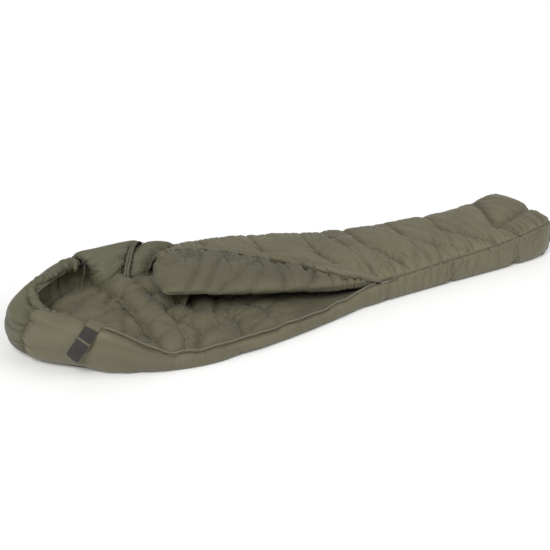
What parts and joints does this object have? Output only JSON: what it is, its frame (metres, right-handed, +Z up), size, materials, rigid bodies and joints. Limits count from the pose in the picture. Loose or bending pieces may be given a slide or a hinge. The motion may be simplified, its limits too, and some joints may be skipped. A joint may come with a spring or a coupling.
{
  "type": "mummy sleeping bag",
  "caption": "Quilted mummy sleeping bag lying on its back, unzipped along one side, with its top panel folded open, padded hood, draft collar and drawcords.",
  "frame": {"origin": "middle of the underside, on the floor", "axes": "+X from the hood to the foot, +Y from the zip side to the far side, +Z up"},
  "size_m": [2.3, 0.7949, 0.2039],
  "materials": {
    "shell_fabric": "woven polyester with a slight satin sheen",
    "lining_fabric": "soft matt woven polyester",
    "batting": "matt fibre fill",
    "zip_tape": "matt woven tape",
    "zip_coil": "satin moulded nylon",
    "hook_and_loop": "matt hook and loop pile",
    "drawcord": "matt braid",
    "lock_plastic": "satin moulded plastic",
    "slider_zinc": "satin cast metal",
    "spring_steel": "drawn wire"
  },
  "bodies": {
    "bag": {"base_insulation": "batting", "base_lining": "lining_fabric", "base_outer_shell": "shell_fabric", "closed_zip_coil": "zip_coil", "closed_zip_tape": "zip_tape", "collar_cord_lock_body": "lock_plastic", "collar_cord_lock_spring": "spring_steel", "collar_cord_tail": "drawcord", "collar_drawcord": "drawcord", "collar_drawcord_channel": "shell_fabric", "draft_collar_insulation": "batting", "draft_collar_shell": "lining_fabric", "far_side_insulation": "batting", "far_side_lining": "lining_fabric", "far_side_outer_shell": "shell_fabric", "foot_box_insulation": "batting", "foot_box_lining": "lining_fabric", "foot_box_outer_shell": "shell_fabric", "hood_cord_lock_body": "lock_plastic", "hood_cord_lock_spring": "spring_steel", "hood_cord_tail": "drawcord", "hood_crown_insulation": "batting", "hood_crown_outer_shell": "shell_fabric", "hood_drawcord": "drawcord", "hood_drawcord_channel": "shell_fabric", "hood_far_front_insulation": "batting", "hood_far_front_outer_shell": "shell_fabric", "hood_far_rear_insulation": "batting", "hood_far_rear_outer_shell": "shell_fabric", "hood_lining": "lining_fabric", "hood_near_insulation": "batting", "hood_near_outer_shell": "shell_fabric", "lower_zip_coil": "zip_coil", "lower_zip_tape": "zip_tape", "near_side_insulation": "batting", "near_side_lining": "lining_fabric", "near_side_outer_shell": "shell_fabric", "top_insulation": "batting", "top_lining": "lining_fabric", "top_outer_shell": "shell_fabric", "zip_bottom_stop": "slider_zinc"},
    "flap": {"flap_outer_shell": "shell_fabric", "flap_insulation": "batting", "flap_lining": "lining_fabric", "draft_tube": "shell_fabric", "upper_zip_tape": "zip_tape", "upper_zip_coil": "zip_coil", "flap_loop_patch": "hook_and_loop"},
    "slider": {"zip_slider": "slider_zinc"},
    "pull": {"slider_pull": "slider_zinc", "pull_tape": "zip_tape"},
    "tab": {"closure_tab": "shell_fabric", "tab_upper_patch": "hook_and_loop", "tab_lower_patch": "hook_and_loop"},
    "near_loop": {"near_foot_loop": "zip_tape"},
    "far_loop": {"far_foot_loop": "zip_tape"},
    "hood_plunger": {"hood_cord_lock_plunger": "lock_plastic"},
    "collar_plunger": {"collar_cord_lock_plunger": "lock_plastic"}
  },
  "joints": [
    {"name": "flap_hinge", "type": "hinge", "parent": "bag", "child": "flap", "pos_m": [0.25, -0.25, 0.105], "axis": [0.9722, -0.2306, -0.04], "range_deg": [0, 178]},
    {"name": "slider_travel", "type": "slide", "parent": "bag", "child": "slider", "axis": [0.997, 0.0662, 0.0398], "range_m": [0, 0.5161]},
    {"name": "pull_swing", "type": "hinge", "parent": "slider", "child": "pull", "pos_m": [0.26263, -0.27352, 0.10036], "axis": [0.0397, 0.0026, -0.9992], "range_deg": [0, 170]},
    {"name": "tab_swing", "type": "hinge", "parent": "bag", "child": "tab", "pos_m": [-0.92841, -0.28626, 0.18], "axis": [-0.6983, 0.4812, 0.5299], "range_deg": [0, 200]},
    {"name": "near_loop_swing", "type": "hinge", "parent": "bag", "child": "near_loop", "pos_m": [1.1434, -0.13, 0.095], "axis": [0, -1, 0], "range_deg": [0, 85]},
    {"name": "far_loop_swing", "type": "hinge", "parent": "bag", "child": "far_loop", "pos_m": [1.1434, 0.13, 0.095], "axis": [0, -1, 0], "range_deg": [0, 85]},
    {"name": "hood_lock_press", "type": "slide", "parent": "bag", "child": "hood_plunger", "axis": [0, 0, -1], "range_m": [0, 0.004], "stiffness_N_per_m": 300, "deforming": ["hood_cord_lock_spring"]},
    {"name": "collar_lock_press", "type": "slide", "parent": "bag", "child": "collar_plunger", "axis": [0, 0, -1], "range_m": [0, 0.004], "stiffness_N_per_m": 300, "deforming": ["collar_cord_lock_spring"]}
  ]
}
